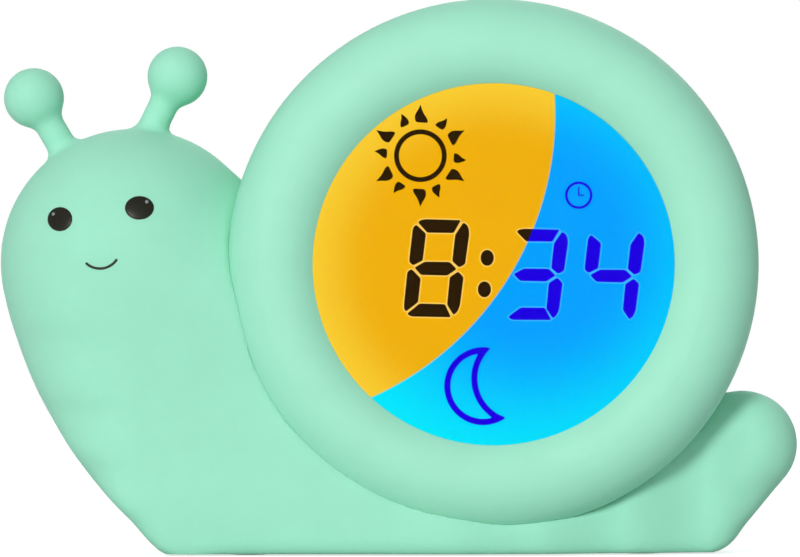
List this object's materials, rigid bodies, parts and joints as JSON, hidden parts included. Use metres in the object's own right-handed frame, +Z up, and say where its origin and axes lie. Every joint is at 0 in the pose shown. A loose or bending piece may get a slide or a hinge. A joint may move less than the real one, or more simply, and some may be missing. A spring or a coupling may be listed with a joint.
{
  "type": "alarm clock",
  "caption": "Snail-shaped kids alarm clock with a night light: soft body, round shell with a two-colour backlit LCD, rear buttons, slide switch and battery door.",
  "frame": {"origin": "on the table under the middle of the clock", "axes": "+X from the head to the tail, -Y out of the display, +Z up"},
  "size_m": [0.1588, 0.0615, 0.1099],
  "materials": {
    "mint_silicone": "soft matte silicone",
    "dark_print": "satin print",
    "white_abs": "moulded, matte",
    "mint_plastic": "fine matte texture",
    "pad_rubber": "matte",
    "screw_steel": "zinc plated",
    "mint_shell": "soft-touch, matte",
    "clear_lens": "clear, polished",
    "black_foam": "foam",
    "lcd_glass": "polished",
    "dark_segment": "flat",
    "amber_light": "translucent, lit amber",
    "blue_light": "translucent, lit blue",
    "white_board": "solder mask",
    "amber_led": "epoxy",
    "blue_led": "epoxy",
    "copper_film": "flexible film",
    "green_board": "solder mask",
    "black_plastic": "moulded, matte",
    "blue_can": "sleeved can",
    "silver_can": "smooth",
    "cream_nylon": "moulded",
    "grey_ribbon": "flexible film",
    "speaker_metal": "pressed",
    "black_paper": "paper cone",
    "dark_magnet": "ferrite",
    "cell_wrap": "printed sleeve, no print",
    "contact_metal": "nickel plated",
    "red_wire": "insulation",
    "black_wire": "insulation",
    "mint_button": "satin",
    "red_plunger": "moulded"
  },
  "bodies": {
    "clock": {"body_skin": "mint_silicone", "eyes": "dark_print", "mouth": "dark_print", "head_core": "white_abs", "base_plate": "mint_plastic", "rubber_feet": "pad_rubber", "base_screws": "screw_steel", "shell_front_ring": "mint_shell", "shell_rear_cover": "mint_shell", "housing_screws": "screw_steel", "display_lens": "clear_lens", "lens_gasket": "black_foam", "lcd_front_glass": "lcd_glass", "lcd_rear_glass": "lcd_glass", "time_segments": "dark_segment", "icon_segments": "dark_segment", "amber_diffuser": "amber_light", "blue_diffuser": "blue_light", "light_box": "white_abs", "led_board": "white_board", "amber_leds": "amber_led", "blue_leds": "blue_led", "lcd_ribbon": "copper_film", "main_board": "green_board", "board_screws": "screw_steel", "control_chip": "black_plastic", "capacitors": "blue_can", "crystal": "silver_can", "lead_sockets": "cream_nylon", "ribbon_sockets": "cream_nylon", "key_ribbon": "grey_ribbon", "key_board": "green_board", "tact_switches": "black_plastic", "slide_switch_body": "silver_can", "usb_shell": "screw_steel", "usb_tongue": "black_plastic", "speaker_frame": "speaker_metal", "speaker_cone": "black_paper", "speaker_magnet": "dark_magnet", "battery_tray": "white_abs", "battery_cells": "cell_wrap", "battery_springs": "contact_metal", "battery_plates": "contact_metal", "battery_leads": "red_wire", "speaker_leads": "black_wire"},
    "set_key": {"set_button": "mint_button", "set_plunger": "red_plunger"},
    "up_key": {"up_button": "mint_button", "up_plunger": "red_plunger"},
    "down_key": {"down_button": "mint_button", "down_plunger": "red_plunger"},
    "alarm_key": {"alarm_button": "mint_button", "alarm_plunger": "red_plunger"},
    "light_key": {"light_button": "mint_button", "light_plunger": "red_plunger"},
    "slide_switch": {"slide_knob": "black_plastic"},
    "door": {"battery_door": "mint_plastic", "door_screw": "screw_steel"}
  },
  "joints": [
    {"name": "set_press", "type": "slide", "parent": "clock", "child": "set_key", "axis": [0, -1, 0], "range_m": [0, 0.0005], "stiffness_N_per_m": 600},
    {"name": "up_press", "type": "slide", "parent": "clock", "child": "up_key", "axis": [0, -1, 0], "range_m": [0, 0.0005], "stiffness_N_per_m": 600},
    {"name": "down_press", "type": "slide", "parent": "clock", "child": "down_key", "axis": [0, -1, 0], "range_m": [0, 0.0005], "stiffness_N_per_m": 600},
    {"name": "alarm_press", "type": "slide", "parent": "clock", "child": "alarm_key", "axis": [0, -1, 0], "range_m": [0, 0.0005], "stiffness_N_per_m": 600},
    {"name": "light_press", "type": "slide", "parent": "clock", "child": "light_key", "axis": [0, -1, 0], "range_m": [0, 0.0005], "stiffness_N_per_m": 600},
    {"name": "slide_switch_move", "type": "slide", "parent": "clock", "child": "slide_switch", "axis": [1, 0, 0], "range_m": [0, 0.003]},
    {"name": "battery_door_swing", "type": "hinge", "parent": "clock", "child": "door", "pos_m": [0.0187, 0.0284, 0.0608], "axis": [1, 0, 0], "range_deg": [0, 95]}
  ]
}
